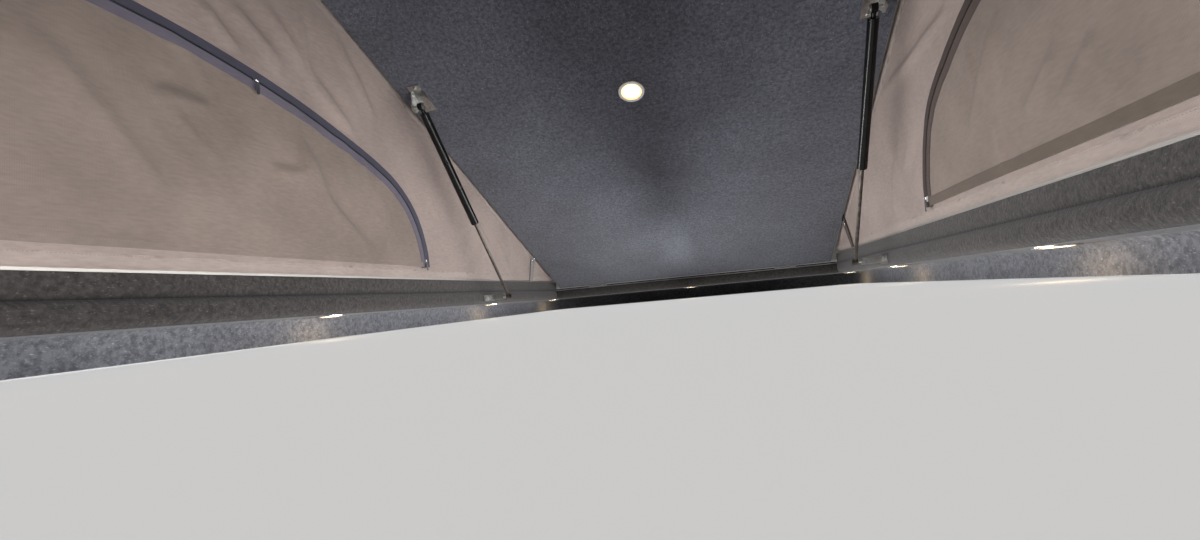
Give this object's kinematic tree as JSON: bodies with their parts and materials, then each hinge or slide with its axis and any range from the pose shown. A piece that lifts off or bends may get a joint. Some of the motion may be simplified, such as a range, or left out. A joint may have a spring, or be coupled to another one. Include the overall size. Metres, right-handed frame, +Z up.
{
  "type": "elevating camper van roof",
  "caption": "Roof panel of a camper van whose moulded top hinges at the rear and lifts at the front on gas struts, over canvas sides with zipped window flaps.",
  "frame": {"origin": "under the middle of the roof panel, level with the underside of its gutter", "axes": "+X to the vehicle's left, +Y to its rear, +Z up; the top lifts at its front, which faces -Y"},
  "size_m": [1.54, 3.2, 1.2071],
  "materials": {
    "roof_paint": "gloss",
    "frame_paint": "satin",
    "felt": "matte felt",
    "canvas": "woven",
    "window_canvas": "woven",
    "webbing": "woven",
    "rail": "satin",
    "rubber": "matte",
    "gelcoat": "gloss",
    "beam": "sealed",
    "hinge_steel": "satin",
    "zinc": "zinc plated",
    "strut_black": "gloss",
    "rod_steel": "polished",
    "bezel": "polished",
    "lens": "frosted",
    "catch_plastic": "matte"
  },
  "bodies": {
    "fixed_roof": {"roof_skin": "roof_paint", "cantrails": "roof_paint", "cantrail_corners": "roof_paint", "frame_left": "frame_paint", "frame_right": "frame_paint", "frame_front": "frame_paint", "frame_rear": "frame_paint", "rim_left": "felt", "rim_right": "felt", "rim_front": "felt", "rim_rear": "felt", "ceiling_left": "felt", "ceiling_right": "felt", "ceiling_front": "felt", "ceiling_rear": "felt", "coving": "felt", "coving_corners": "felt", "downlight_bezels": "bezel", "downlight_lenses": "lens", "rail_left": "rail", "rail_right": "rail", "rail_front": "rail", "canvas_left": "canvas", "canvas_right": "canvas", "canvas_front": "canvas", "window_flap_left": "window_canvas", "window_flap_right": "window_canvas", "window_flap_front": "window_canvas", "straps": "webbing", "roof_seal": "rubber", "rear_seal": "rubber", "hinge_bases": "hinge_steel", "strut_feet": "zinc", "catches": "catch_plastic"},
    "lifting_top": {"roof_shell": "gelcoat", "beam_left": "beam", "beam_right": "beam", "beam_front": "beam", "beam_rear": "beam", "roof_lining": "felt", "lamp_bezel": "bezel", "lamp_lens": "lens", "top_rail_left": "rail", "top_rail_right": "rail", "top_rail_front": "rail", "hinge_leaves": "hinge_steel", "strut_heads": "zinc", "keepers": "catch_plastic"},
    "tube_left": {"strut_tube_left": "strut_black"},
    "rod_left": {"strut_rod_left": "rod_steel"},
    "tube_right": {"strut_tube_right": "strut_black"},
    "rod_right": {"strut_rod_right": "rod_steel"}
  },
  "joints": [
    {"name": "roof_hinge", "type": "hinge", "parent": "fixed_roof", "child": "lifting_top", "pos_m": [0, 1.13, 0.11], "axis": [1, 0, 0], "range_deg": [0, 25], "deforming": ["canvas_left", "canvas_right", "canvas_front", "window_flap_left", "window_flap_right", "window_flap_front", "straps"]},
    {"name": "strut_swing_left", "type": "hinge", "parent": "lifting_top", "child": "tube_left", "pos_m": [0.516, 0.04849, 0.55915], "axis": [1, 0, 0], "range_deg": [0, 26.3]},
    {"name": "strut_slide_left", "type": "slide", "parent": "tube_left", "child": "rod_left", "axis": [0, 0.6469, -0.7626], "range_m": [-0.136, 0]},
    {"name": "strut_swing_right", "type": "hinge", "parent": "lifting_top", "child": "tube_right", "pos_m": [-0.516, 0.04849, 0.55915], "axis": [1, 0, 0], "range_deg": [0, 26.3]},
    {"name": "strut_slide_right", "type": "slide", "parent": "tube_right", "child": "rod_right", "axis": [0, 0.6469, -0.7626], "range_m": [-0.136, 0]}
  ],
  "couplings": [
    {"joint": "strut_swing_left", "follows": "roof_hinge", "ratio": 1.0519},
    {"joint": "strut_slide_left", "follows": "roof_hinge", "m_per_rad": -0.31162},
    {"joint": "strut_swing_right", "follows": "roof_hinge", "ratio": 1.0519},
    {"joint": "strut_slide_right", "follows": "roof_hinge", "m_per_rad": -0.31162}
  ]
}
